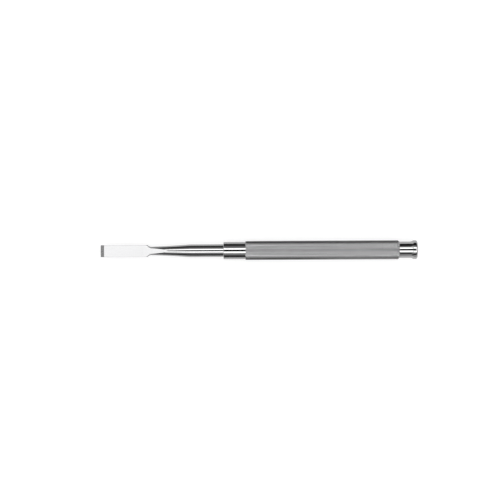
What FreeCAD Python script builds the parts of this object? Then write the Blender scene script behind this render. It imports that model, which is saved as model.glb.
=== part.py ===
import FreeCAD, Part
import math
import os
import Sketcher

# A bone chisel of 160 mm, turned, milled and knurled from one steel bar.
# It lies along X with its blade towards -X and its bevelled face up.
# Stations along the bar are measured from the cutting edge.

# Driving dimensions in millimetres, angles in degrees
SIZES = {
    "blade_width": 6.05,        # diameter of the round front that the flats are milled on
    "blade_thickness": 1.3,     # between the two flats
    "blade_length": 23.8,       # cutting edge to shoulders
    "climb_ahead": 1.7,         # how far before the shoulders the flats begin to climb
    "bevel_length": 1.83,       # single bevel, on the upper face only
    "edge_land": 0.04,          # what honing leaves at the cutting edge
    "ramp_length": 2.8,         # steep climb of the flats towards the neck
    "ramp_height": 1.55,        # of the ramp's upper end over the axis
    "ramp_round": 3.0,          # hollow where a flat turns into its ramp
    "run_out_angle": 6.1,       # gentle climb of the flats along the neck
    "shoulder_angle": 45.0,
    "shoulder_round": 2.2,      # hollow between shoulder and neck
    "neck_diameter": 4.25,
    "swell_end": 45.0,          # cutting edge to the parallel shank
    "swell_hollow": 0.13,       # how far the swelling neck dips below a straight cone
    "shank_diameter": 6.5,
    "working_length": 62.05,    # cutting edge to the collar
    "collar_diameter": 8.8,
    "collar_length": 11.15,
    "collar_chamfer": 0.15,
    "grip_diameter": 9.9,       # over the points of the knurl
    "grip_length": 77.5,
    "knurl_pitch": 1.52,        # point to point, both along the grip and round it
    "knurl_depth": 0.4,
    "chamfer_diameter": 8.4,    # small end of the chamfer behind the grip
    "tail_diameter": 8.3,
    "tail_length": 5.2,         # parallel part behind the grip
    "flare_length": 1.8,
    "head_diameter": 9.5,
    "head_length": 2.02,
    "head_round": 0.6,          # of the head's front edge
    "face_round": 0.9,          # of the edge of the striking face
    "crown_height": 0.28,       # rise of the striking face
}


class Size:
    """A length that carries its value and the expression that gives it."""

    def __init__(self, value, text):
        self.value = value
        self.text = text

    @staticmethod
    def of(other):
        return other if isinstance(other, Size) else Size(other, str(other))

    def __add__(self, other):
        other = Size.of(other)
        return Size(self.value + other.value, f"({self.text} + {other.text})")

    def __sub__(self, other):
        other = Size.of(other)
        return Size(self.value - other.value, f"({self.text} - {other.text})")

    def __mul__(self, other):
        other = Size.of(other)
        return Size(self.value * other.value, f"({self.text} * {other.text})")

    def __truediv__(self, other):
        other = Size.of(other)
        return Size(self.value / other.value, f"({self.text} / {other.text})")

    def __neg__(self):
        return Size(-self.value, f"(-{self.text})")


def tangent(angle):
    return Size(math.tan(math.radians(angle.value)), f"tan({angle.text})")


def cosine(angle):
    return Size(math.cos(math.radians(angle.value)), f"cos({angle.text})")


def nearest_whole(size):
    return Size(math.floor(size.value + 0.5), f"floor({size.text} + 0.5)")


def largest(*sizes):
    texts = "; ".join(size.text for size in sizes)
    return Size(max(size.value for size in sizes), f"max({texts})")


def arc_radius(run, rise, sagitta):
    """Radius of an arc over a chord of that run and rise, with that sagitta."""
    return (run * run + rise * rise) / (sagitta * 8) + sagitta / 2


def tangent_arc_radius(run, rise):
    """Radius of an arc that leaves a straight line and climbs by rise over run."""
    return (run * run + rise * rise) / (rise * 2)


class Outline:
    """A closed chain of lines and arcs on the body's XZ plane, pinned at its corners."""

    def __init__(self, body, name, start):
        self.sketch = body.newObject("Sketcher::SketchObject", name)
        planes = body.Origin.OriginFeatures
        upright = next(plane for plane in planes if plane.Role == "XZ_Plane")
        self.sketch.AttachmentSupport = [(upright, "")]
        self.sketch.MapMode = "FlatFace"
        self.start = start
        self.here = start
        self.free_end = None
        self.first_end = None

    @staticmethod
    def point(corner):
        return FreeCAD.Vector(corner[0].value, corner[1].value, 0)

    def hold(self, kind, geometry, end, size):
        """Ties one coordinate of a corner to its expression."""
        if size.value == 0:
            axis = -2 if kind == "DistanceX" else -1
            on_axis = Sketcher.Constraint("PointOnObject", geometry, end, axis)
            self.sketch.addConstraint(on_axis)
            return
        if size.value > 0:
            rule = Sketcher.Constraint(kind, -1, 1, geometry, end, size.value)
        else:
            size = -size
            rule = Sketcher.Constraint(kind, geometry, end, -1, 1, size.value)
        index = self.sketch.addConstraint(rule)
        self.sketch.setExpression(f"Constraints[{index}]", size.text)

    def pin(self, geometry, end, corner):
        self.hold("DistanceX", geometry, end, corner[0])
        self.hold("DistanceY", geometry, end, corner[1])

    def add(self, curve, corner):
        geometry = self.sketch.addGeometry(curve, False)
        begins = self.sketch.Geometry[geometry].StartPoint
        from_here = begins.distanceToPoint(self.point(self.here))
        from_corner = begins.distanceToPoint(self.point(corner))
        near, far = (1, 2) if from_here < from_corner else (2, 1)
        if self.free_end is None:
            self.first_end = (geometry, near)
            self.pin(geometry, near, self.start)
        else:
            meet = Sketcher.Constraint("Coincident", *self.free_end, geometry, near)
            self.sketch.addConstraint(meet)
        if corner is self.start:
            close = Sketcher.Constraint("Coincident", geometry, far, *self.first_end)
            self.sketch.addConstraint(close)
        else:
            self.pin(geometry, far, corner)
        self.free_end = (geometry, far)
        self.here = corner
        return geometry

    def line_to(self, corner):
        self.add(Part.LineSegment(self.point(self.here), self.point(corner)), corner)

    def arc_to(self, corner, radius, side):
        """Adds an arc that bulges to the left of its chord for side 1, to the right for -1."""
        begin, end = self.point(self.here), self.point(corner)
        chord = end - begin
        left = FreeCAD.Vector(-chord.y, chord.x, 0).normalize()
        depth = math.sqrt(radius.value ** 2 - (chord.Length / 2) ** 2)
        centre = begin + chord / 2 - left * (depth * side)
        circle = Part.Circle(centre, FreeCAD.Vector(0, 0, 1), radius.value)
        angles = [math.atan2(spot.y - centre.y, spot.x - centre.x) for spot in (begin, end)]
        geometry = self.add(Part.ArcOfCircle(circle, *angles[::-side]), corner)
        rule = Sketcher.Constraint("Radius", geometry, radius.value)
        index = self.sketch.addConstraint(rule)
        self.sketch.setExpression(f"Constraints[{index}]", radius.text)


def make_sheet(doc):
    """Writes the driving dimensions and returns them as sizes by name."""
    sheet = doc.addObject("Spreadsheet::Sheet", "Sizes")
    for row, (name, value) in enumerate(SIZES.items(), start=1):
        sheet.set(f"A{row}", name)
        sheet.set(f"B{row}", str(value))
        sheet.setAlias(f"B{row}", name)
    doc.recompute()
    return {name: Size(float(sheet.get(name)), f"Sizes.{name}") for name in SIZES}


def revolve(body, name, outline):
    """Turns an outline about the bar's axis."""
    turned = body.newObject("PartDesign::Revolution", name)
    turned.Profile = outline.sketch
    turned.ReferenceAxis = (outline.sketch, ["H_Axis"])
    turned.Angle = 360.0
    return turned


def mill(body, name, outline):
    """Cuts an outline through the bar from side to side."""
    cut = body.newObject("PartDesign::Pocket", name)
    cut.Profile = outline.sketch
    cut.Type = "ThroughAll"
    cut.SideType = "Symmetric"
    return cut


def edges_where(feature, wanted):
    """Names of a feature's edges that a test picks by their box."""
    edges = enumerate(feature.Shape.Edges, start=1)
    return [f"Edge{number}" for number, edge in edges if wanted(edge.BoundBox)]


def ring_at(station, diameter):
    """A test for the round edge at one station with one diameter."""
    slack = 1e-4

    def wanted(box):
        return (
            abs(box.XMin - station.value) < slack
            and box.XLength < slack
            and abs(box.ZLength - diameter.value) < slack
        )

    return wanted


def crease_at(station, thickness):
    """A test for the straight edges across the blade where a flat turns into its ramp."""
    slack = 1e-4

    def wanted(box):
        return (
            abs(box.XMin - station.value) < slack
            and box.XLength < slack
            and box.ZLength < slack
            and abs(abs(box.ZMin) - thickness.value / 2) < slack
        )

    return wanted


def dress(body, kind, name, feature, wanted, size):
    """Rounds or chamfers the picked edges of the last feature."""
    names = edges_where(feature, wanted)
    if not names:
        raise RuntimeError(f"{name} finds no edge")
    dressed = body.newObject(f"PartDesign::{kind}", name)
    dressed.Base = (feature, names)
    field = "Radius" if kind == "Fillet" else "Size"
    dressed.setExpression(field, size.text)
    return dressed


def turn_front(body, sizes):
    """The turned front of the bar: blade stock, shoulders, neck, shank and collar."""
    axis = Size.of(0)
    blade_radius = sizes["blade_width"] / 2
    neck_radius = sizes["neck_diameter"] / 2
    shank_radius = sizes["shank_diameter"] / 2
    collar_radius = sizes["collar_diameter"] / 2
    drop = blade_radius - neck_radius
    neck = sizes["blade_length"] + drop / tangent(sizes["shoulder_angle"])
    collar = sizes["working_length"]
    collar_end = collar + sizes["collar_length"]
    swell = arc_radius(
        sizes["swell_end"] - neck, shank_radius - neck_radius, sizes["swell_hollow"]
    )

    outline = Outline(body, "front_outline", (axis, axis))
    outline.line_to((axis, blade_radius))
    outline.line_to((sizes["blade_length"], blade_radius))
    outline.line_to((neck, neck_radius))
    outline.arc_to((sizes["swell_end"], shank_radius), swell, side=-1)
    outline.line_to((collar, shank_radius))
    outline.line_to((collar, collar_radius))
    outline.line_to((collar_end, collar_radius))
    outline.line_to((collar_end, axis))
    outline.line_to(outline.start)
    front = revolve(body, "turned_front", outline)
    body.Document.recompute()

    shoulder = dress(
        body, "Fillet", "shoulder_hollow", front,
        ring_at(neck, sizes["neck_diameter"]), sizes["shoulder_round"],
    )
    body.Document.recompute()
    return dress(
        body, "Chamfer", "collar_edge", shoulder,
        ring_at(collar, sizes["collar_diameter"]), sizes["collar_chamfer"],
    )


def mill_blade(body, sizes):
    """Mills the two flats with their ramps, and grinds the bevel."""
    face = sizes["blade_thickness"] / 2
    clear_above = sizes["blade_width"]
    clear_ahead = -sizes["blade_thickness"]
    flat_end = sizes["blade_length"] - sizes["climb_ahead"]
    ramp_top = flat_end + sizes["ramp_length"]
    still_to_climb = clear_above - sizes["ramp_height"]
    run_out = ramp_top + still_to_climb / tangent(sizes["run_out_angle"])

    upper = Outline(body, "flat_outline", (clear_ahead, face))
    upper.line_to((flat_end, face))
    upper.line_to((ramp_top, sizes["ramp_height"]))
    upper.line_to((run_out, clear_above))
    upper.line_to((clear_ahead, clear_above))
    upper.line_to(upper.start)
    upper_flat = mill(body, "upper_flat", upper)
    body.Document.recompute()

    planes = body.Origin.OriginFeatures
    middle = next(plane for plane in planes if plane.Role == "XY_Plane")
    lower_flat = body.newObject("PartDesign::Mirrored", "lower_flat")
    lower_flat.Originals = [upper_flat]
    lower_flat.MirrorPlane = (middle, [""])
    body.Tip = lower_flat
    body.Document.recompute()

    ramps = dress(
        body, "Fillet", "ramp_hollows", lower_flat,
        crease_at(flat_end, sizes["blade_thickness"]), sizes["ramp_round"],
    )
    body.Tip = ramps
    body.Document.recompute()

    edge_top = sizes["edge_land"] - face
    bevel = Outline(body, "bevel_outline", (clear_ahead, edge_top))
    bevel.line_to((Size.of(0), edge_top))
    bevel.line_to((sizes["bevel_length"], face))
    bevel.line_to((sizes["bevel_length"], clear_above))
    bevel.line_to((clear_ahead, clear_above))
    bevel.line_to(bevel.start)
    return mill(body, "bevel", bevel)


def make_working_end(doc, sizes):
    """Blade, neck, shank and collar."""
    body = doc.addObject("PartDesign::Body", "working_end")
    turned = turn_front(body, sizes)
    doc.recompute()
    stock = turned.Shape.Volume
    body.Tip = mill_blade(body, sizes)
    doc.recompute()
    if not 0 < body.Shape.Volume < stock:
        raise RuntimeError("the flats and the bevel remove nothing")
    return body


def make_striking_end(doc, sizes, grip_end):
    """The plain tail behind the grip and the flared head with its crowned face."""
    body = doc.addObject("PartDesign::Body", "striking_end")
    axis = Size.of(0)
    tail_radius = sizes["tail_diameter"] / 2
    head_radius = sizes["head_diameter"] / 2
    flare_start = grip_end + sizes["tail_length"]
    head = flare_start + sizes["flare_length"]
    head_end = head + sizes["head_length"]
    tip = head_end + sizes["crown_height"]
    flare = tangent_arc_radius(sizes["flare_length"], head_radius - tail_radius)
    crown = tangent_arc_radius(head_radius, sizes["crown_height"])

    outline = Outline(body, "rear_outline", (grip_end, axis))
    outline.line_to((grip_end, tail_radius))
    outline.line_to((flare_start, tail_radius))
    outline.arc_to((head, head_radius), flare, side=-1)
    outline.line_to((head_end, head_radius))
    outline.arc_to((tip, axis), crown, side=1)
    outline.line_to(outline.start)
    turned = revolve(body, "turned_rear", outline)
    doc.recompute()

    front_edge = dress(
        body, "Fillet", "head_edge", turned,
        ring_at(head, sizes["head_diameter"]), sizes["head_round"],
    )
    doc.recompute()
    body.Tip = dress(
        body, "Fillet", "face_edge", front_edge,
        ring_at(head_end, sizes["head_diameter"]), sizes["face_round"],
    )
    doc.recompute()
    return body


def knurl_count(sizes):
    """How many points stand round the grip in one row, by the circle at half the knurl's depth."""
    half_depth_circle = sizes["grip_diameter"] - sizes["knurl_depth"]
    return nearest_whole(half_depth_circle * math.pi / sizes["knurl_pitch"])


def knurled_bar(start, length, pitch, count, crest, root, chamfer):
    """A bar with a diamond knurl: crossing grooves leave rows of four-sided points.

    Rows half a pitch apart hold a point or a groove crossing at every half step round
    the bar, and each row is shifted by half a step against the last. The last row has
    the radius of the chamfer's small end. Two lines of points straddle the underside,
    so that the bar lies steady on them.
    """
    rows = 2 * max(1, round(length / pitch))
    around = 2 * count

    def corner(row, place):
        radius = root if (row - place) % 2 == 0 else crest
        if row == rows:
            radius = chamfer
        angle = math.pi * (place + 0.5) / count
        across = FreeCAD.Vector(0, math.sin(angle), -math.cos(angle)) * radius
        return Part.Vertex(FreeCAD.Vector(start + length * row / rows, 0, 0) + across)

    corners = [[corner(row, place) for place in range(around)] for row in range(rows + 1)]
    edges = {}

    def edge(begin, end):
        key = min(begin, end), max(begin, end)
        if key not in edges:
            edges[key] = Part.Edge(*(corners[row][place] for row, place in key))
        return edges[key] if key == (begin, end) else edges[key].reversed()

    def facet(*loop):
        sides = zip(loop, loop[1:] + loop[:1])
        return Part.Face(Part.Wire([edge(begin, end) for begin, end in sides]))

    faces = [
        facet(*[(0, place) for place in reversed(range(around))]),
        facet(*[(rows, place) for place in range(around)]),
    ]
    for row in range(rows + 1):
        for place in range(1 - row % 2, around, 2):
            point = (row, place)
            after = (row, (place + 1) % around)
            before = (row, (place - 1) % around)
            if row > 0:
                faces.append(facet(point, (row - 1, place), after))
                faces.append(facet(point, before, (row - 1, place)))
            if row < rows:
                faces.append(facet(point, (row + 1, place), before))
                faces.append(facet(point, after, (row + 1, place)))
    return Part.Solid(Part.Shell(faces))


def make_grip(doc, sizes, grip_start):
    """The knurled grip with the chamfer behind it."""
    crest = sizes["grip_diameter"].value / 2
    grip = doc.addObject("Part::Feature", "knurled_grip")
    grip.Shape = knurled_bar(
        start=grip_start.value,
        length=sizes["grip_length"].value,
        pitch=sizes["knurl_pitch"].value,
        count=int(knurl_count(sizes).value),
        crest=crest,
        root=crest - sizes["knurl_depth"].value,
        chamfer=sizes["chamfer_diameter"].value / 2,
    )
    grip.Placement = FreeCAD.Placement()
    return grip


def rest_height(sizes):
    """Height of the axis above the surface that the chisel lies on."""
    half_step = Size.of(90) / knurl_count(sizes)
    on_points = sizes["grip_diameter"] / 2 * cosine(half_step)
    return largest(on_points, sizes["head_diameter"] / 2, sizes["collar_diameter"] / 2)


def check(doc):
    """Stops the build if an object failed or a shape is unsound."""
    for item in doc.Objects:
        failed = {"Invalid", "Error"} & set(item.State)
        if failed:
            raise RuntimeError(f"{item.Name} is {failed}")
        is_solid = item.isDerivedFrom("Part::Feature") and "Sketch" not in item.TypeId
        if is_solid and (item.Shape.isNull() or not item.Shape.isValid()):
            raise RuntimeError(f"{item.Name} has an unsound shape")


def main():
    doc = FreeCAD.newDocument("bone_chisel")
    sizes = make_sheet(doc)
    grip_start = sizes["working_length"] + sizes["collar_length"]
    grip_end = grip_start + sizes["grip_length"]
    behind_grip = (
        sizes["tail_length"] + sizes["flare_length"]
        + sizes["head_length"] + sizes["crown_height"]
    )

    chisel = doc.addObject("Part::MultiFuse", "chisel")
    chisel.Label = "bone_chisel"
    chisel.Refine = False
    chisel.Shapes = [
        make_working_end(doc, sizes),
        make_grip(doc, sizes, grip_start),
        make_striking_end(doc, sizes, grip_end),
    ]
    chisel.setExpression("Placement.Base.x", (-(grip_end + behind_grip) / 2).text)
    chisel.setExpression("Placement.Base.z", rest_height(sizes).text)
    doc.recompute()
    check(doc)
    if len(chisel.Shape.Solids) != 1:
        raise RuntimeError("the chisel isn't one solid")

    os.makedirs("parts", exist_ok=True)
    chisel.Shape.exportStep(f"parts/{chisel.Label}.step")
    print(f"{chisel.Label}: {len(chisel.Shape.Faces)} faces, {chisel.Shape.Volume:.1f} mm3")


main()
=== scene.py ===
"""Looks of a bone chisel: one bar of polished steel, lying on a pale floor and seen from above."""

import logging
import math
from dataclasses import dataclass, field
from enum import Enum
from typing import Any, NamedTuple, Sequence

import bpy
import numpy as np
from mathutils import Matrix, Vector

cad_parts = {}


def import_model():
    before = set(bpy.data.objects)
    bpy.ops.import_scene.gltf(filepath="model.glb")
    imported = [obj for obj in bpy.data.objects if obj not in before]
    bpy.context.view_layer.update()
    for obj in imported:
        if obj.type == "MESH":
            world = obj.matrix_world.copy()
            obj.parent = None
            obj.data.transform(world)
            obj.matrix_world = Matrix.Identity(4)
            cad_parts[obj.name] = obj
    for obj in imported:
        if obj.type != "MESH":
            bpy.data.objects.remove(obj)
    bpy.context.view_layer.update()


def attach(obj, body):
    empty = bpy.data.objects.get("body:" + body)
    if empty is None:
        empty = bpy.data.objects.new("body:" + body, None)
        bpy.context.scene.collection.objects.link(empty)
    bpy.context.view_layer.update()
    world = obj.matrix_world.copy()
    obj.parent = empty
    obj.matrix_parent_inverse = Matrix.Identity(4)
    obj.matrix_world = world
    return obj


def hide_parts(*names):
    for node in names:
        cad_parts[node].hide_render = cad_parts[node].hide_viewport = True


LOG = logging.getLogger("bone_chisel")
MM = 0.001
AROUND = 160


class Zone(Enum):
    """The finishes on the bar, by the place of their material in its list."""

    POLISHED = 0
    GROUND_FLAT = 1
    GROUND_BEVEL = 2
    KNURLED = 3


class Grain(Enum):
    """Which way the marks of a polishing belt or a grinding wheel run."""

    ROUND_THE_BAR = (5200.0, 260.0, 260.0)
    ALONG_THE_BAR = (300.0, 7000.0, 300.0)


# Shader maths


class Value:
    """A number that a shader works out, written as an ordinary expression."""

    def __init__(self, graph: "Graph", socket: bpy.types.NodeSocket) -> None:
        """Wraps an output socket of a node tree."""
        self.graph = graph
        self.socket = socket

    def math(self, operation: str, *terms: Any) -> "Value":
        """Adds a Math node.

        Args:
            operation: the node's operation.
            terms: its inputs in order, each a number or a value.

        Returns:
            The node's result.
        """
        made = self.graph.node("ShaderNodeMath", {"operation": operation}, dict(enumerate(terms)))
        return Value(self.graph, made.outputs[0])

    def __add__(self, other: Any) -> "Value":
        """The sum."""
        return self.math("ADD", self, other)

    __radd__ = __add__

    def __sub__(self, other: Any) -> "Value":
        """The difference."""
        return self.math("SUBTRACT", self, other)

    def __rsub__(self, other: Any) -> "Value":
        """The difference from a number."""
        return self.math("SUBTRACT", other, self)

    def __mul__(self, other: Any) -> "Value":
        """The product."""
        return self.math("MULTIPLY", self, other)

    __rmul__ = __mul__

    def __truediv__(self, other: Any) -> "Value":
        """The quotient."""
        return self.math("DIVIDE", self, other)

    def __rtruediv__(self, other: Any) -> "Value":
        """A number divided by this value."""
        return self.math("DIVIDE", other, self)

    def __pow__(self, other: Any) -> "Value":
        """The power."""
        return self.math("POWER", self, other)

    def __abs__(self) -> "Value":
        """The size without its sign."""
        return self.math("ABSOLUTE", self)

    def largest(self, other: Any) -> "Value":
        """The larger of two values."""
        return self.math("MAXIMUM", self, other)

    def turned_from(self, other: Any) -> "Value":
        """The angle of which this value is the opposite side and the other the adjacent one."""
        return self.math("ARCTAN2", self, other)

    def step(self, low: float, high: float) -> "Value":
        """A soft step.

        Args:
            low: where the result is 0.
            high: where the result is 1.

        Returns:
            A value that climbs smoothly from 0 to 1.
        """
        settings = {"interpolation_type": "SMOOTHSTEP"}
        inputs = {"Value": self, "From Min": low, "From Max": high}
        made = self.graph.node("ShaderNodeMapRange", settings, inputs)
        return Value(self.graph, made.outputs[0])


class Graph:
    """The node tree of one material or of the world."""

    def __init__(self, tree: bpy.types.NodeTree) -> None:
        """Empties the tree, to be filled node by node."""
        self.tree = tree
        tree.nodes.clear()

    def node(self, kind: str, settings: dict[str, Any], inputs: dict[Any, Any]) -> bpy.types.Node:
        """Adds a node.

        Args:
            kind: Blender's name for the type of node.
            settings: its properties.
            inputs: a number, colour, socket or value for each input, by name or index.

        Returns:
            The new node.
        """
        made = self.tree.nodes.new(kind)
        for name, setting in settings.items():
            setattr(made, name, setting)
        for key, given in inputs.items():
            source = given.socket if isinstance(given, Value) else given
            if isinstance(source, bpy.types.NodeSocket):
                self.tree.links.new(source, made.inputs[key])
            else:
                made.inputs[key].default_value = source
        return made

    def value(self, kind: str, settings: dict[str, Any], inputs: dict[Any, Any], output: Any = 0) -> Value:
        """Adds a node and wraps one of its outputs, by name or index."""
        return Value(self, self.node(kind, settings, inputs).outputs[output])

    def place(self) -> bpy.types.NodeSocket:
        """The place on the object, in metres, that the point being shaded has."""
        return self.node("ShaderNodeTexCoord", {}, {}).outputs["Object"]

    def axes(self, vector: bpy.types.NodeSocket) -> tuple[Value, Value, Value]:
        """The X, Y and Z of a vector."""
        parts = self.node("ShaderNodeSeparateXYZ", {}, {"Vector": vector}).outputs
        return Value(self, parts[0]), Value(self, parts[1]), Value(self, parts[2])

    def noise(self, vector: bpy.types.NodeSocket, stretch: Sequence[float], detail: float) -> Value:
        """Clouds, stretched along the axes.

        Args:
            vector: where to read them.
            stretch: how many clouds go in a metre along X, Y and Z.
            detail: how many finer layers they have.

        Returns:
            A value around one half.
        """
        scaled = self.node("ShaderNodeVectorMath", {"operation": "MULTIPLY"}, {0: vector, 1: stretch})
        inputs = {"Vector": scaled.outputs[0], "Scale": 1.0, "Detail": detail, "Roughness": 0.55}
        return self.value("ShaderNodeTexNoise", {}, inputs, "Fac")

    def blend(self, share: Value, low: Sequence[float], high: Sequence[float]) -> bpy.types.NodeSocket:
        """A colour between two.

        Args:
            share: 0 for the first colour and 1 for the second.
            low: the first colour.
            high: the second colour.

        Returns:
            The mixed colour.
        """
        made = self.node("ShaderNodeMix", {"data_type": "RGBA"}, {0: share, 6: (*low, 1), 7: (*high, 1)})
        return made.outputs[2]


# Finishes


@dataclass(frozen=True)
class Steel:
    """Bare stainless steel with the marks that its last tool left."""

    name: str
    grain: Grain
    bright: tuple[float, float, float] = (0.635, 0.635, 0.64)
    dull: tuple[float, float, float] = (0.585, 0.585, 0.59)
    smooth: float = 0.05
    rough: float = 0.10
    marks: float = 0.05
    mark_depth: float = 0.6e-6
    clouds: tuple[float, float, float] = (90.0, 240.0, 240.0)
    fade: tuple[float, float] = (0.3, 0.7)

    def wear_and_groove_shade(self, graph: Graph, place: bpy.types.NodeSocket) -> Value:
        """Where the surface is duller, from 0 to 1: soft clouds, crossed by the tool's marks."""
        clouds = graph.noise(place, self.clouds, detail=2.0)
        lines = graph.noise(place, self.grain.value, detail=2.0)
        return (clouds * (1.0 - self.marks) + lines * self.marks).step(*self.fade)

    def make(self) -> bpy.types.Material:
        """Builds the material."""
        material = bpy.data.materials.new(self.name)
        material.use_nodes = True
        graph = Graph(material.node_tree)
        place = graph.place()
        wear_and_groove_shade = self.wear_and_groove_shade(graph, place)
        lines = graph.noise(place, self.grain.value, detail=3.0)
        bump = {"Height": lines, "Strength": 1.0, "Distance": self.mark_depth}
        shader = {
            "Base Color": graph.blend(wear_and_groove_shade, self.bright, self.dull),
            "Metallic": 1.0,
            "Roughness": wear_and_groove_shade * (self.rough - self.smooth) + self.smooth,
            "Normal": graph.node("ShaderNodeBump", {}, bump).outputs[0],
        }
        surface = graph.node("ShaderNodeBsdfPrincipled", {}, shader).outputs[0]
        graph.node("ShaderNodeOutputMaterial", {}, {"Surface": surface})
        return material


@dataclass(frozen=True)
class KnurledSteel(Steel):
    """Knurled steel: polished points over grooves, with a painted highlight on the points and painted shade
    in the grooves.
    """

    axis_height: float = 0.0
    root: float = 0.0
    crest: float = 0.0
    clouds: tuple[float, float, float] = (900.0, 900.0, 900.0)
    fade: tuple[float, float] = (0.2, 1.0)
    # how much the painted shade of the grooves counts in the mix
    groove_shade_share: float = 0.8
    cloud_share: float = 0.4

    def wear_and_groove_shade(self, graph: Graph, place: bpy.types.NodeSocket) -> Value:
        """Painted shade: darker towards the bottom of the grooves, with soft clouds between."""
        across, up = graph.axes(place)[1:]
        rise = up - self.axis_height
        radius = (across * across + rise * rise) ** 0.5
        # painted shade: the deeper below the crest, the darker the colour
        groove_shade = 1.0 - (radius - self.root) / (self.crest - self.root)
        clouds = graph.noise(place, self.clouds, detail=3.0)
        return (groove_shade * self.groove_shade_share + clouds * self.cloud_share).step(*self.fade)


@dataclass(frozen=True)
class PaleFloor:
    """A plain pale floor that keeps a soft shadow."""

    name: str = "pale_floor"
    diffuse: float = 0.4
    glow: float = 0.75
    mirrored_glow: float = 0.32

    def make(self) -> bpy.types.Material:
        """Builds the material: a matt grey, lifted to white where it is seen, mirrored or seen through."""
        material = bpy.data.materials.new(self.name)
        material.use_nodes = True
        graph = Graph(material.node_tree)
        rays = graph.node("ShaderNodeLightPath", {}, {}).outputs
        seen = Value(graph, rays["Is Camera Ray"]).largest(rays["Is Transmission Ray"])
        glow = (seen * self.glow).largest(Value(graph, rays["Is Glossy Ray"]) * self.mirrored_glow)
        matt = {"Color": (self.diffuse, self.diffuse, self.diffuse, 1)}
        shaders = {
            0: graph.node("ShaderNodeBsdfDiffuse", {}, matt).outputs[0],
            1: graph.node("ShaderNodeEmission", {}, {"Strength": glow}).outputs[0],
        }
        both = graph.node("ShaderNodeAddShader", {}, shaders).outputs[0]
        graph.node("ShaderNodeOutputMaterial", {}, {"Surface": both})
        return material


@dataclass(frozen=True)
class GreyCard:
    """A plain card that the steel mirrors."""

    name: str
    level: float

    def make(self) -> bpy.types.Material:
        """Builds the material: an even tone, whatever light falls on the card."""
        material = bpy.data.materials.new(self.name)
        material.use_nodes = True
        graph = Graph(material.node_tree)
        tone = graph.node("ShaderNodeEmission", {}, {"Strength": self.level}).outputs[0]
        graph.node("ShaderNodeOutputMaterial", {}, {"Surface": tone})
        return material


# The profile of the bar


class Corner(NamedTuple):
    """A corner of a profile: its station, its height and the radius that rounds it."""

    station: float
    height: float
    radius: float = 0.0


class Sample(NamedTuple):
    """A point of a profile, with the direction of travel before and after it."""

    station: float
    height: float
    before: float
    after: float


def rounded(corners: Sequence[Corner], steps: int = 6) -> list[Sample]:
    """Samples a chain of straight runs with rounded corners.

    Args:
        corners: the chain, from the cutting edge towards the head.
        steps: how many pieces each round has.

    Returns:
        The samples in order; a corner with no radius stays sharp.
    """
    points = [Vector(corner[:2]) for corner in corners]
    runs = [end - begin for begin, end in zip(points, points[1:])]
    headings = [math.atan2(run.y, run.x) for run in runs]
    turns = [0.0, *(after - before for before, after in zip(headings, headings[1:])), 0.0]
    reach = [corner.radius * math.tan(abs(turn) / 2) for corner, turn in zip(corners, turns)]
    for index, run in enumerate(runs):
        excess = reach[index] + reach[index + 1] - run.length
        if excess > 0:
            wider = index if reach[index] > reach[index + 1] else index + 1
            reach[wider] -= excess
    samples = [Sample(*points[0], headings[0], headings[0])]
    for index in range(1, len(points) - 1):
        before, after, turn = headings[index - 1], headings[index], turns[index]
        if reach[index] <= 0:
            samples.append(Sample(*points[index], before, after))
            continue
        radius = reach[index] / math.tan(turn / 2)
        ahead = Vector((math.cos(before), math.sin(before)))
        centre = points[index] - ahead * reach[index] + ahead.orthogonal() * radius
        for step in range(steps + 1):
            heading = before + turn * step / steps
            spoke = Vector((math.sin(heading), -math.cos(heading))) * radius
            samples.append(Sample(*(centre + spoke), heading, heading))
    samples.append(Sample(*points[-1], headings[-1], headings[-1]))
    return samples


class Course:
    """A profile read as a height over the station."""

    def __init__(self, corners: Sequence[Corner], steps: int = 6) -> None:
        """Samples the corners; none of them may be upright."""
        samples = rounded(corners, steps)
        self.stations = np.array([sample.station for sample in samples])
        self.heights = np.array([sample.height for sample in samples])
        self.slopes = np.tan([sample.after for sample in samples])

    def at(self, station: float) -> tuple[float, float]:
        """The height and the slope at a station."""
        height = np.interp(station, self.stations, self.heights)
        return float(height), float(np.interp(station, self.stations, self.slopes))


# Rings of the skin


@dataclass
class Ring:
    """One closed ring of points round the bar, counted from its underside towards +Y."""

    points: np.ndarray
    ahead: np.ndarray
    behind: np.ndarray
    zones: list[Zone]


def unit(vectors: np.ndarray) -> np.ndarray:
    """Vectors of the same direction with a length of 1."""
    return vectors / np.linalg.norm(vectors, axis=-1, keepdims=True)


def spokes() -> np.ndarray:
    """Directions of the columns round a turned stretch."""
    angles = np.arange(AROUND) * 2 * math.pi / AROUND
    return np.stack([np.zeros(AROUND), np.sin(angles), -np.cos(angles)], axis=1)


def turned_ring(sample: Sample, zone: Zone = Zone.POLISHED) -> Ring:
    """A round ring of a turned stretch.

    Args:
        sample: the profile there.
        zone: the finish from this ring to the next.

    Returns:
        The ring, in millimetres from the cutting edge and the axis.
    """
    out = spokes()
    along = np.array([1.0, 0.0, 0.0])

    def facing(heading: float) -> np.ndarray:
        """Directions that the surface faces, for one heading of the profile."""
        return out * math.cos(heading) - along * math.sin(heading)

    points = along * sample.station + out * sample.height
    return Ring(points, facing(sample.before), facing(sample.after), [zone] * AROUND)


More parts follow.
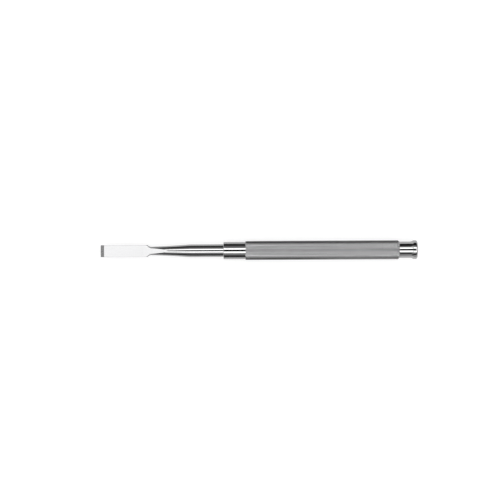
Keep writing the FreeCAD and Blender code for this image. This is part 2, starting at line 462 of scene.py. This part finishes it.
@dataclass
class WorkingEnd:
    """Blade, neck, shank and collar. Sizes are in millimetres and degrees."""

    blade_radius: float = 3.025
    half_thickness: float = 0.65
    blade_length: float = 23.8
    flat_length: float = 22.1
    bevel_length: float = 1.83
    edge_land: float = 0.04
    ramp_length: float = 2.8
    ramp_height: float = 1.55
    ramp_round: float = 3.0
    run_out_angle: float = 6.1
    shoulder_round: float = 2.2
    neck_radius: float = 2.125
    swell_end: float = 45.0
    swell_hollow: float = 0.13
    swell_blend: float = 30.0
    shank_radius: float = 3.25
    collar_start: float = 62.05
    collar_radius: float = 4.4
    collar_chamfer: float = 0.15
    collar_end: float = 73.2
    knurl_root: float = 4.55
    edge_round: float = 0.05
    shoulder_soft: float = 0.7
    corner_round: float = 0.12
    softest_behind: float = 0.4
    soft_reach: float = 1.4
    most_curl: float = 0.3
    least_flat: float = 6.0
    least_edge: float = 0.4
    flat_columns: int = 18
    edge_columns: int = 4
    bevel_gap: float = 0.4
    flat_gap: float = 1.2
    shoulder_gap: float = 0.22
    shoulder_stretch_end: float = 26.0
    ramp_gap: float = 0.5
    bar_gap: float = 1.0
    bar_stretch_end: float = 50.0
    run_out_gap: float = 0.05
    run_out_rings: int = 7
    least_gap: float = 0.004
    run_out_after: float = 2.0
    run_out_tries: int = 4000

    def swell(self, begin: Vector, end: Vector, parts: int = 6) -> list[Corner]:
        """Corners that, once rounded, give the hollow swell of the neck.

        Args:
            begin: station and radius where the swell starts.
            end: station and radius where it ends.
            parts: how many tangent runs stand in for the arc.

        Returns:
            The corners between the two ends.
        """
        chord = end - begin
        radius = chord.length_squared / (8 * self.swell_hollow) + self.swell_hollow / 2
        half = math.asin(chord.length / 2 / radius)
        middle = math.atan2(chord.y, chord.x)
        centre = (begin + end) / 2 + Vector((-chord.y, chord.x)).normalized() * radius * math.cos(half)
        outer = radius / math.cos(half / parts)
        found = []
        for part in range(parts):
            heading = middle - half + 2 * half * (part + 0.5) / parts
            spot = centre + Vector((math.sin(heading), -math.cos(heading))) * outer
            found.append(Corner(spot.x, spot.y, radius))
        return found

    def turned(self) -> Course:
        """Radius of the turned bar from the cutting edge to the shank."""
        neck = self.blade_length + self.blade_radius - self.neck_radius
        begin, end = Vector((neck, self.neck_radius)), Vector((self.swell_end, self.shank_radius))
        return Course([
            Corner(0.0, self.blade_radius),
            Corner(self.blade_length, self.blade_radius, self.corner_round),
            Corner(neck, self.neck_radius, self.shoulder_round),
            *self.swell(begin, end),
            Corner(self.swell_end, self.shank_radius, self.swell_blend),
            Corner(self.collar_start, self.shank_radius),
        ])

    def limit(self, bevelled: bool) -> Course:
        """Height of a milled face over the axis: bevel, flat and ramp.

        Args:
            bevelled: whether the face carries the bevel.

        Returns:
            The height, measured away from the axis.
        """
        climb = math.tan(math.radians(self.run_out_angle))
        ramp_top, end = self.flat_length + self.ramp_length, self.collar_start
        start = [Corner(0.0, self.half_thickness)]
        if bevelled:
            start = [
                Corner(0.0, self.edge_land - self.half_thickness),
                Corner(self.bevel_length, self.half_thickness, self.corner_round),
            ]
        return Course([
            *start,
            Corner(self.flat_length, self.half_thickness, self.ramp_round),
            Corner(ramp_top, self.ramp_height, self.ramp_round),
            Corner(end, self.ramp_height + (end - ramp_top) * climb),
        ])

    def stations(self, courses: Sequence[Course], run_out: float) -> list[float]:
        """Where the rings of the blade and the neck stand.

        Args:
            courses: the profiles whose own samples each get a ring.
            run_out: where the ramps end.

        Returns:
            Stations from the cutting edge to the shank.
        """
        last = courses[0].stations[-2]
        wanted = {float(spot) for course in courses for spot in course.stations if spot <= last}
        wanted |= {run_out - self.run_out_gap * 2 ** power for power in range(self.run_out_rings)} | {run_out}
        limits = [(self.bevel_length, self.bevel_gap), (self.flat_length, self.flat_gap)]
        limits += [(self.shoulder_stretch_end, self.shoulder_gap), (run_out, self.ramp_gap)]
        limits += [(self.bar_stretch_end, self.bar_gap)]
        spots = sorted(wanted)
        merged = [spots[0]]
        for spot in spots[1:]:
            gap = next(gap for end, gap in limits if spot <= end + 1e-9)
            if spot - merged[-1] < self.least_gap:
                continue
            count = math.ceil((spot - merged[-1]) / gap - 1e-9)
            merged += list(np.linspace(merged[-1], spot, count + 1)[1:])
        return merged

    def quarter(
        self, radius: float, slope: float, face: tuple[float, float], room: float, ease: float, near: float,
    ) -> np.ndarray:
        """Half of one milled face with the round of its edge, or what stands there on the round bar.

        Args:
            radius: of the turned bar.
            slope: of the turned bar.
            face: height and slope of the milled face.
            room: the thickness there.
            ease: 0 where the ramp has just ended, 1 where the columns are even.
            near: 1 at the shoulders, where polishing has rounded the edges most, and 0 away from them.

        Returns:
            Rows of width, height, and the direction faced along, across and out.
        """
        height, climb = face
        flat = np.linspace(0.0, 1.0, self.flat_columns + 1)
        edge = np.linspace(0.0, 1.0, self.edge_columns + 1)[1:]
        if height < radius * math.cos(math.radians(self.least_flat)):
            curl = min(self.edge_round + self.shoulder_soft * near, self.most_curl * room)
            wide = math.sqrt((radius - curl) ** 2 - (height - curl) ** 2)
            open_angle = math.atan2(wide, height - curl)
            angles = open_angle * edge
            flat_rows = [flat * wide, flat * 0 + height, flat * 0 - climb, flat * 0, flat * 0 + 1]
            lean = climb + (slope - climb) * edge
            edge_rows = [
                wide + curl * np.sin(angles), height - curl + curl * np.cos(angles),
                -lean, np.sin(angles), np.cos(angles),
            ]
            return np.concatenate([np.stack(flat_rows, 1), np.stack(edge_rows, 1)])
        even = 360.0 / AROUND
        inner = self.least_flat + (even * self.flat_columns - self.least_flat) * ease
        outer = self.least_flat + self.least_edge
        outer += (even * (self.flat_columns + self.edge_columns) - outer) * ease
        angles = np.radians(np.concatenate([flat * inner, inner + (outer - inner) * edge]))
        sines, cosines = np.sin(angles), np.cos(angles)
        return np.stack([radius * sines, radius * cosines, angles * 0 - slope, sines, cosines], 1)

    def blade_rings(self) -> list[Ring]:
        """Rings of the blade and the neck, up to the shank."""
        bar, top, bottom = self.turned(), self.limit(True), self.limit(False)
        dense = np.linspace(self.blade_length + self.run_out_after, self.swell_end, self.run_out_tries)
        inside = math.cos(math.radians(self.least_flat))
        clear = [bar.at(spot)[0] * inside <= top.at(spot)[0] for spot in dense]
        run_out = float(dense[clear.index(True)])
        rings = []
        for station in self.stations([bar, top, bottom], run_out):
            radius, slope = bar.at(station)
            room = top.at(station)[0] + bottom.at(station)[0]
            share = min(max((station - run_out) / (self.swell_end - run_out), 0.0), 1.0)
            ease = share * share * (3 - 2 * share)
            near = max(0.0, 1 - abs(station - self.blade_length - self.softest_behind) / self.soft_reach)
            upper = self.quarter(radius, slope, top.at(station), room, ease, near)
            lower = self.quarter(radius, slope, bottom.at(station), room, ease, near)
            low_angle, high_angle = math.atan2(*lower[-1, 3:]), math.pi - math.atan2(*upper[-1, 3:])
            side = AROUND // 2 - 2 * (self.flat_columns + self.edge_columns)
            angles = np.linspace(low_angle, high_angle, side + 1)[1:-1]
            sines, cosines = np.sin(angles), -np.cos(angles)
            flank = np.stack([radius * sines, radius * cosines, angles * 0 - slope, sines, cosines], 1)
            half = np.concatenate([lower * (1, -1, 1, 1, -1), flank, upper[::-1]])
            whole = np.concatenate([half, half[-2:0:-1]])
            whole[len(half):, 0] *= -1
            whole[len(half):, 3] *= -1
            points = np.stack([np.full(AROUND, station), whole[:, 0], whole[:, 1]], 1)
            faces = unit(whole[:, 2:])
            rings.append(Ring(points, faces, faces, self.zones(station, run_out)))
        return rings

    def zones(self, station: float, run_out: float) -> list[Zone]:
        """Finishes of the strip that starts at a station, column by column."""
        zones = [Zone.POLISHED] * AROUND
        if station < run_out - 1e-6:
            middle = AROUND // 2
            upper = Zone.GROUND_BEVEL if station < self.bevel_length - 1e-6 else Zone.GROUND_FLAT
            for column in range(-self.flat_columns, self.flat_columns):
                zones[middle + column] = upper
                zones[column] = Zone.GROUND_FLAT
        return zones

    def collar_rings(self) -> list[Ring]:
        """Rings of the shank and the collar, to the root of the knurl."""
        inner = self.collar_radius - self.collar_chamfer
        samples = rounded([
            Corner(self.collar_start - 1.0, self.shank_radius),
            Corner(self.collar_start, self.shank_radius),
            Corner(self.collar_start, inner, self.edge_round),
            Corner(self.collar_start + self.collar_chamfer, self.collar_radius, self.edge_round),
            Corner(self.collar_end, self.collar_radius),
            Corner(self.collar_end, self.knurl_root),
        ], steps=4)
        return [turned_ring(sample) for sample in samples[1:-1]]


@dataclass
class Grip:
    """The diamond knurl: crossing grooves that leave rows of four-sided points, in millimetres."""

    start: float = 73.2
    length: float = 77.5
    rows: int = 102
    count: int = 20
    root: float = 4.55
    crest: float = 4.95
    chamfer: float = 4.2
    softness: float = 0.25
    fine: int = 4
    facing_step: float = 0.03
    corner_inset: float = 0.3

    def radius(self, row: np.ndarray, place: np.ndarray) -> np.ndarray:
        """Radius of the surface.

        Args:
            row: how many half pitches from the front.
            place: how many half pitches round the bar.

        Returns:
            The radius at each pair.
        """
        def flank(groove: np.ndarray) -> np.ndarray:
            """Height over the nearest of one set of grooves, softened at its foot and its top."""
            rise = 2 * np.abs(groove - np.round(groove))
            return rise - self.softness * np.sin(2 * math.pi * rise) / (2 * math.pi)

        height = np.minimum(flank((row + place) / 2), flank((row - place) / 2))
        chamfer = self.crest + (self.chamfer - self.crest) * np.clip(row - self.rows + 1, 0, 1)
        return np.minimum(self.root + (self.crest - self.root) * height, chamfer)

    def facing(self, row: np.ndarray, place: np.ndarray) -> np.ndarray:
        """Directions that the surface faces at pairs of row and place."""
        small = self.facing_step
        pitch = self.length / self.rows
        angle = math.pi * (place + 0.5) / self.count
        along = (self.radius(row + small, place) - self.radius(row - small, place)) / (2 * small * pitch)
        turn = (self.radius(row, place + small) - self.radius(row, place - small)) / (2 * small)
        turn = turn * self.count / math.pi / self.radius(row, place)
        out = np.stack([0 * angle, np.sin(angle), -np.cos(angle)], -1)
        side = np.stack([0 * angle, np.cos(angle), np.sin(angle)], -1)
        front = np.array([1.0, 0.0, 0.0])
        return unit(out - side * turn[..., None] - front * along[..., None])

    def grid(self) -> tuple[np.ndarray, np.ndarray]:
        """Rows and places of all the points of the knurl."""
        row = np.arange(self.rows * self.fine + 1) / self.fine
        place = np.arange(AROUND) / self.fine - 0.5
        return np.meshgrid(row, place, indexing="ij")

    def points(self) -> np.ndarray:
        """The points of the knurl, ring by ring."""
        row, place = self.grid()
        angle = math.pi * (place + 0.5) / self.count
        radius = self.radius(row, place)
        station = self.start + self.length * row / self.rows
        return np.stack([station, radius * np.sin(angle), -radius * np.cos(angle)], -1)

    def facets(self) -> tuple[np.ndarray, np.ndarray]:
        """Triangles, cut along the grooves.

        Returns:
            The ring and column of the corners of each triangle, and the directions faced there.
        """
        ring, column = np.meshgrid(np.arange(self.rows * self.fine), np.arange(AROUND), indexing="ij")
        ring, column = ring.ravel(), column.ravel()
        period = 2 * self.fine
        falling = (ring + column + 1 - self.fine // 2) % period == 0
        here, side = (ring, column), (ring, column + 1)
        ahead, across = (ring + 1, column), (ring + 1, column + 1)
        rising_cut = [(here, side, across), (here, across, ahead)]
        falling_cut = [(here, side, ahead), (side, across, ahead)]
        corners = []
        for one, other in zip(rising_cut, falling_cut):
            for first, second in zip(one, other):
                chosen = [np.where(falling, second[axis], first[axis]) for axis in (0, 1)]
                corners.append(np.stack(chosen, -1))
        triangles = np.stack(corners, 1).reshape(-1, 3, 2)
        spots = triangles / self.fine
        inward = spots + (spots.mean(1, keepdims=True) - spots) * self.corner_inset
        faced = self.facing(inward[..., 0], inward[..., 1] - 0.5)
        return triangles, faced


@dataclass
class StrikingEnd:
    """The plain tail behind the grip and the flared, crowned head, in millimetres."""

    start: float = 150.7
    chamfer: float = 4.2
    tail_radius: float = 4.15
    flare_corner: float = 156.9
    flare_radius: float = 3.0
    head_start: float = 157.7
    head_radius: float = 4.75
    head_round: float = 0.6
    face_round: float = 0.9
    head_end: float = 159.72
    tip: float = 160.0
    crown_middle: float = 2.383
    crown_radius: float = 40.43

    def rings(self) -> list[Ring]:
        """Rings from the back of the grip to near the middle of the striking face."""
        samples = rounded([
            Corner(self.start, self.chamfer),
            Corner(self.start, self.tail_radius),
            Corner(self.flare_corner, self.tail_radius, self.flare_radius),
            Corner(self.head_start, self.head_radius, self.head_round),
            Corner(self.head_end, self.head_radius, self.face_round),
            Corner(self.tip, self.crown_middle, self.crown_radius),
            Corner(self.tip, 0.0),
        ], steps=10)
        return [turned_ring(sample) for sample in samples[1:-1]]


@dataclass
class Chisel:
    """The whole bone chisel as one closed skin."""

    name: str = "bone_chisel_skin"
    node: str = "bone_chisel"
    slot: str = "polished_steel"
    length: float = 160.0
    axis_height: float = 4.9347
    working_end: WorkingEnd = field(default_factory=WorkingEnd)
    grip: Grip = field(default_factory=Grip)
    striking_end: StrikingEnd = field(default_factory=StrikingEnd)

    def finishes(self) -> list[bpy.types.Material]:
        """The materials, in the order of the zones."""
        polished = Steel("polished_steel", Grain.ROUND_THE_BAR)
        flat = Steel(
            "ground_flat", Grain.ALONG_THE_BAR, bright=(0.60, 0.60, 0.605),
            smooth=0.11, rough=0.14, marks=0.5, mark_depth=1e-6,
        )
        bevel = Steel("ground_bevel", Grain.ALONG_THE_BAR, smooth=0.22, rough=0.3, marks=0.5, mark_depth=2e-6)
        knurl = KnurledSteel(
            # the knurl's colours: the bright one adds a painted highlight on the points, the dull one is
            # painted shade in the grooves
            "knurled_steel", Grain.ROUND_THE_BAR, bright=(0.74, 0.74, 0.745), dull=(0.45, 0.45, 0.455),
            smooth=0.09, rough=0.22,
            axis_height=self.axis_height * MM, root=self.grip.root * MM, crest=self.grip.crest * MM,
        )
        return [finish.make() for finish in (polished, flat, bevel, knurl)]

    def build(self) -> bpy.types.Object:
        """Builds the mesh, ring by ring, with the direction that each corner of each face faces."""
        front = self.working_end.blade_rings() + self.working_end.collar_rings()
        back = self.striking_end.rings()
        knurl = self.grip.points()
        points: list[np.ndarray] = [ring.points for ring in front]
        points += [*knurl, *(ring.points for ring in back), np.array([[self.striking_end.tip, 0.0, 0.0]])]
        faces: list[list[int]] = []
        zones: list[int] = []
        faced: list[np.ndarray] = []

        def index(ring: int, column: int) -> int:
            """The number of a point."""
            return ring * AROUND + column % AROUND

        def strip(ring: int, after: np.ndarray, before: np.ndarray, finish: Sequence[Zone]) -> None:
            """Adds the faces between one ring and the next."""
            for column in range(AROUND):
                other = (column + 1) % AROUND
                begin = [index(ring, column), index(ring, other)]
                end = [index(ring + 1, other), index(ring + 1, column)]
                faces.append(begin + end)
                zones.append(finish[column].value)
                faced.extend([after[column], after[other], before[other], before[column]])

        faces.append([index(0, column) for column in reversed(range(AROUND))])
        zones.append(Zone.GROUND_BEVEL.value)
        step_face = np.tile([-1.0, 0.0, 0.0], (AROUND, 1))
        faced.extend(step_face)
        for number, (ring, following) in enumerate(zip(front, front[1:])):
            strip(number, ring.behind, following.ahead, ring.zones)
        plain = [Zone.POLISHED] * AROUND
        strip(len(front) - 1, step_face, step_face, plain)
        triangles, directions = self.grip.facets()
        first = len(front)
        for triangle, toward in zip(triangles.tolist(), directions):
            faces.append([index(first + ring, column) for ring, column in triangle])
            zones.append(Zone.KNURLED.value)
            faced.extend(toward)
        first += len(knurl)
        strip(first - 1, -step_face, -step_face, plain)
        for number, (ring, following) in enumerate(zip(back, back[1:])):
            strip(first + number, ring.behind, following.ahead, ring.zones)
        last = first + len(back) - 1
        for column in range(AROUND):
            faces.append([index(last, column), index(last, column + 1), index(last + 1, 0)])
            zones.append(Zone.POLISHED.value)
            faced.extend([back[-1].behind[column], back[-1].behind[(column + 1) % AROUND], -step_face[0]])

        place = np.concatenate(points) - (self.length / 2, 0.0, -self.axis_height)
        mesh = bpy.data.meshes.new(self.name)
        mesh.from_pydata((place * MM).tolist(), [], faces)
        mesh.polygons.foreach_set("material_index", zones)
        mesh.polygons.foreach_set("use_smooth", [True] * len(faces))
        for material in self.finishes():
            mesh.materials.append(material)
        mesh.normals_split_custom_set(np.array(faced).tolist())
        mesh.update()
        piece = bpy.data.objects.new(self.name, mesh)
        bpy.context.scene.collection.objects.link(piece)
        return piece

    def dress(self) -> bpy.types.Object:
        """Builds the piece and ties it to the frame."""
        piece = self.build()
        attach(piece, "root")
        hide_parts(self.node)
        return piece


# Floor, light and camera


def panel(name: str, corners: Sequence[Sequence[float]], material: bpy.types.Material) -> bpy.types.Object:
    """A flat panel of the studio.

    Args:
        name: of the object.
        corners: its corners in order, in metres.
        material: its finish.

    Returns:
        The staged panel.
    """
    mesh = bpy.data.meshes.new(name)
    mesh.from_pydata([tuple(corner) for corner in corners], [], [list(range(len(corners)))])
    mesh.materials.append(material)
    made = bpy.data.objects.new(name, mesh)
    bpy.context.scene.collection.objects.link(made)
    return made


class Card(NamedTuple):
    """An upright card: the two ends of its foot, the heights of its edges in metres, and its tone."""

    name: str
    begin: tuple[float, float]
    end: tuple[float, float]
    bottom: float
    top: float
    tone: float


CARDS = (
    Card("front_far_card", (-0.35, 0.0314), (0.055, 0.0314), 0.0, 0.0263, 0.05),
    Card("tail_far_card", (0.0, 0.09), (0.35, 0.09), 0.0, 0.073, 0.015),
    Card("front_near_card", (-0.12, -0.035), (-0.004, -0.035), 0.0, 0.0245, 0.05),
    Card("grip_near_card", (-0.004, -0.035), (0.06, -0.035), 0.0, 0.0225, 0.10),
    Card("tail_low_card", (0.06, -0.035), (0.2, -0.035), 0.0, 0.0215, 0.40),
    Card("tail_high_card", (0.04, -0.035), (0.2, -0.035), 0.0215, 0.0375, 0.01),
    Card("front_card", (-0.8, -0.8), (-0.8, 0.8), 0.0, 0.36, 0.37),
    Card("back_card", (0.8, -0.8), (0.8, 0.8), 0.0, 0.36, 0.37),
)


@dataclass
class Studio:
    """A pale floor, two long softboxes, a small panel over the blade, and low cards. Metres and degrees."""

    lean: float = 1.0
    floor_radius: float = 12.0
    floor_sides: int = 64
    floor_gap: float = 1e-5
    box_inner: float = 12.5
    box_outer_far: float = 30.5
    box_outer_near: float = 32.5
    box_distance: float = 0.62
    box_length: float = 1.3
    box_level: float = 1.85
    dome_high: float = 0.42
    dome_low: float = 0.18
    dome_front: float = 0.85
    dome_back: float = 0.42
    horizon_level: float = 1.0
    near_lift: float = 0.07
    low_fade: tuple[float, float] = (25.0, 70.0)
    ends_fade: tuple[float, float] = (0.2, 0.6)
    horizon_fade: tuple[float, float] = (0.1, 0.3)
    near_fade: tuple[float, float] = (0.3, 0.8)
    slot_half: float = 12.5
    slot_level: float = 0.015
    slot_softness: float = 0.05
    slot_fade: tuple[float, float] = (0.3, 0.4)
    bridge_height: float = 0.055
    bridge_front: float = -0.14
    bridge_back: float = -0.0565
    bridge_half: float = 0.0112
    bridge_level: float = 1.52

    def floor(self) -> bpy.types.Object:
        """A wide round floor just under the object."""
        angles = [math.tau * part / self.floor_sides for part in range(self.floor_sides)]
        radius = self.floor_radius
        rim = [(math.cos(angle) * radius, math.sin(angle) * radius, -self.floor_gap) for angle in angles]
        return panel("floor", rim, PaleFloor().make())

    def cards(self) -> None:
        """The panel over the blade, and the cards round the object, which only the steel sees."""
        front, back, half, height = self.bridge_front, self.bridge_back, self.bridge_half, self.bridge_height
        bridge = [(front, -half, height), (back, -half, height), (back, half, height), (front, half, height)]
        sheets = [("bridge", bridge, self.bridge_level)]
        for card in CARDS:
            low = [(*card.begin, card.bottom), (*card.end, card.bottom)]
            high = [(*card.end, card.top), (*card.begin, card.top)]
            sheets.append((card.name, low + high, card.tone))
        for name, corners, tone in sheets:
            made = panel(name, corners, GreyCard(name, tone).make())
            made.visible_camera = False
            made.visible_diffuse = False
            made.visible_shadow = False

    def softboxes(self) -> None:
        """A long softbox on each side of the line from the object to the camera."""
        for name, way, outer in (("far", -1, self.box_outer_far), ("near", 1, self.box_outer_near)):
            width = 2 * self.box_distance * math.tan(math.radians(outer - self.box_inner) / 2)
            lamp = bpy.data.lights.new(f"softbox_{name}", "AREA")
            lamp.shape = "RECTANGLE"
            lamp.size, lamp.size_y = self.box_length, width
            lamp.energy = self.box_level * math.pi * self.box_length * width
            box = bpy.data.objects.new(lamp.name, lamp)
            angle = math.radians(way * (self.box_inner + outer) / 2 - self.lean)
            box.matrix_world = Matrix.Rotation(angle, 4, "X") @ Matrix.Translation((0, 0, self.box_distance))
            box.visible_camera = False
            bpy.context.scene.collection.objects.link(box)

    def dome(self) -> None:
        """A grey dome, pale in front and at the horizon, with a dark slot that is lit at its back end."""
        world = bpy.data.worlds.new("dome")
        world.use_nodes = True
        bpy.context.scene.world = world
        graph = Graph(world.node_tree)
        way = graph.node("ShaderNodeTexCoord", {}, {}).outputs["Generated"]
        along, across, up = graph.axes(way)
        lean = math.radians(self.lean)
        tilt = abs(across.turned_from(up) - lean)
        half = math.radians(self.slot_half)
        slot = 1.0 - tilt.step(half * (1 - self.slot_softness), half * (1 + self.slot_softness))
        back = along.step(*self.slot_fade)
        horizon = 1.0 - up.step(*self.horizon_fade)
        low = tilt.step(*(math.radians(angle) for angle in self.low_fade))
        level = low * (self.dome_low - self.dome_high) + self.dome_high
        level = level + (0.0 - along).step(*self.ends_fade) * (self.dome_front - level)
        level = level + along.step(*self.ends_fade) * (self.dome_back - level)
        level = level + horizon * (self.horizon_level - level)
        level = level + (0.0 - across).step(*self.near_fade) * self.near_lift
        level = level + slot * (self.slot_level - level)
        level = level + slot * back * (self.box_level - level)
        surface = graph.node("ShaderNodeBackground", {}, {"Strength": level}).outputs[0]
        graph.node("ShaderNodeOutputWorld", {}, {"Surface": surface})

    def build(self) -> None:
        """Sets up the whole studio."""
        self.floor()
        self.cards()
        self.softboxes()
        self.dome()
        bpy.context.scene.view_settings.view_transform = "Standard"


@dataclass
class Viewpoint:
    """The camera over the object, leaning a little, as the object lay rolled to it. Metres and degrees."""

    distance: float = 1.0
    lean: float = 1.0
    roll: float = -0.29
    frame: float = 0.25235
    aim: tuple[float, float, float] = (-0.00459, 0.00024, 0.0049)
    sensor: float = 36.0

    def build(self) -> bpy.types.Object:
        """Makes the camera and gives it to the scene."""
        data = bpy.data.cameras.new("camera")
        data.sensor_width = self.sensor
        data.lens = self.sensor * self.distance / self.frame
        data.clip_start, data.clip_end = 0.01, 100.0
        camera = bpy.data.objects.new("camera", data)
        lean = Matrix.Rotation(math.radians(-self.lean), 4, "X")
        roll = Matrix.Rotation(math.radians(self.roll), 4, "Z")
        back = Matrix.Translation((0, 0, self.distance))
        camera.matrix_world = Matrix.Translation(self.aim) @ lean @ roll @ back
        bpy.context.scene.collection.objects.link(camera)
        bpy.context.scene.camera = camera
        return camera


def main() -> None:
    """Loads the frame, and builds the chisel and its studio."""
    logging.basicConfig(level=logging.INFO, format="%(message)s")
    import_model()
    Viewpoint().build()
    Studio().build()
    piece = Chisel().dress()
    LOG.info("%s: %d faces", piece.name, len(piece.data.polygons))


if __name__ == "__main__":
    main()
